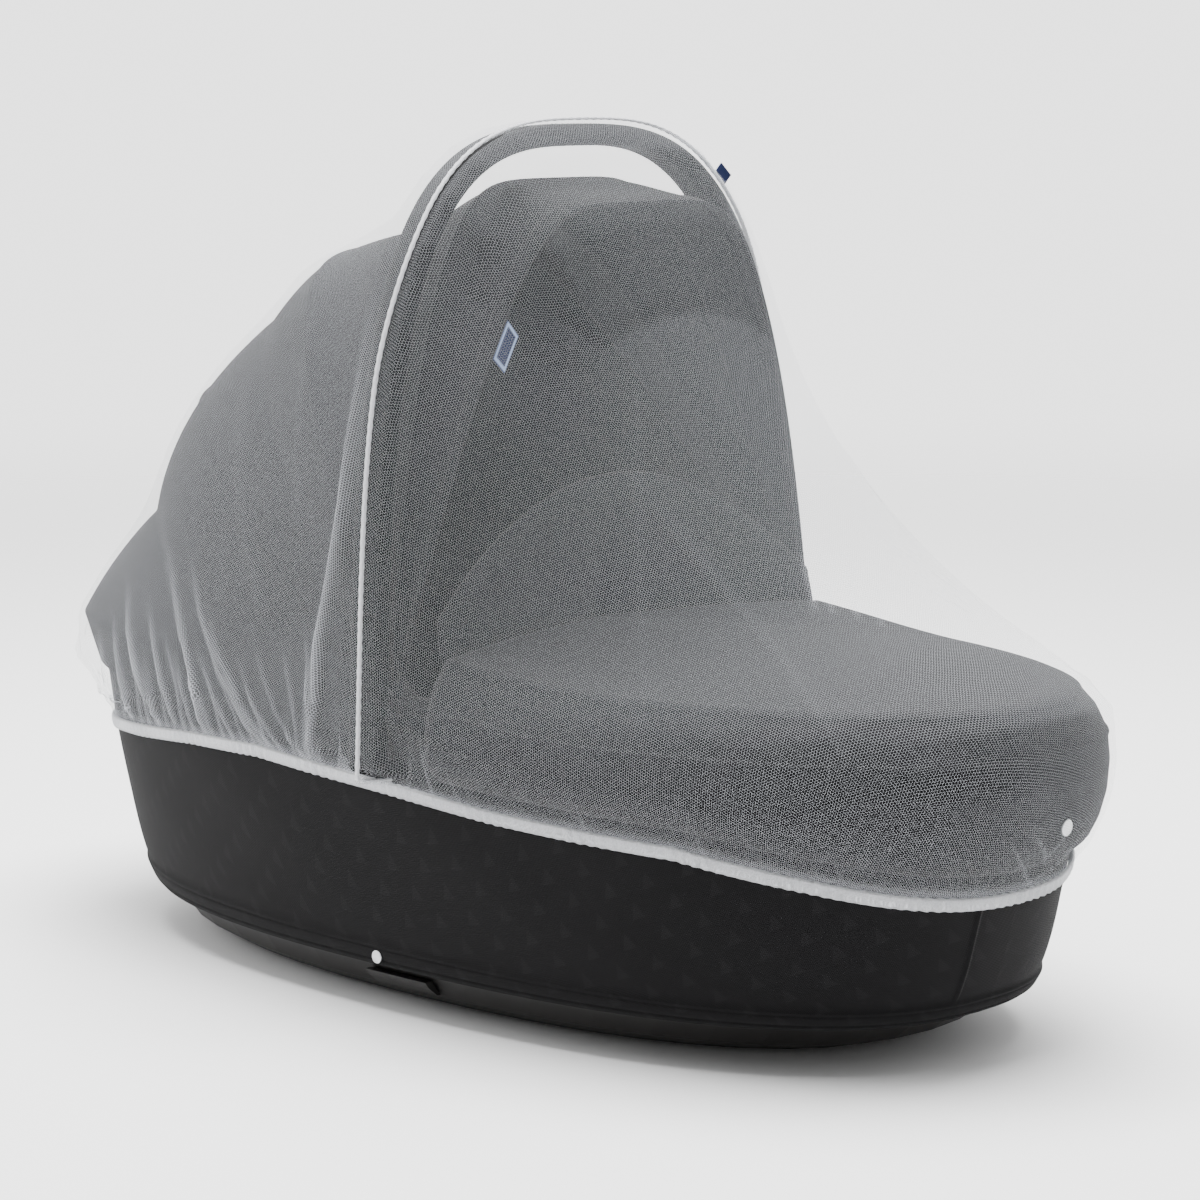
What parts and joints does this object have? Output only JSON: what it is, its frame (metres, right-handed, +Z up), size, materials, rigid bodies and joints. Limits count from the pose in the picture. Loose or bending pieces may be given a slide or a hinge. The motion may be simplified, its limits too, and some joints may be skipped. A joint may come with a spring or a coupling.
{
  "type": "mosquito net on carrycot",
  "caption": "Sheer stroller mosquito net in two sewn panels with an elastic edge, stretched over the carrying handle, hood and foot cover of a carrycot.",
  "frame": {"origin": "middle of the whole part's underside, on the surface that it rests on", "axes": "+X along the cot to its foot end, +Y to the side away from the camera, +Z up"},
  "size_m": [0.846, 0.4354, 0.5672],
  "materials": {
    "net": "sheer white hexagonal mesh",
    "white_edge": "overlocked soft white thread",
    "black_fabric": "woven, matt, with a faint tone-on-tone pattern",
    "grey_plastic": "fine-grained warm dark grey",
    "rubber": "matt",
    "navy_tape": "plain woven tape",
    "pale_metal": "pressed press-stud cap"
  },
  "bodies": {
    "root": {"tray": "grey_plastic", "foot_1": "rubber", "foot_2": "rubber", "foot_3": "rubber", "foot_4": "rubber", "latch_near": "grey_plastic", "latch_far": "grey_plastic", "tub": "black_fabric", "handle": "black_fabric", "handle_pivot_near": "grey_plastic", "handle_pivot_far": "grey_plastic", "hood": "black_fabric", "cover": "black_fabric", "cover_flap": "black_fabric", "hood_label": "navy_tape", "net_front": "net", "net_rear": "net", "net_seam": "white_edge", "net_elastic": "white_edge", "snap_foot": "pale_metal", "snap_side": "pale_metal", "net_tab": "navy_tape"}
  },
  "joints": []
}
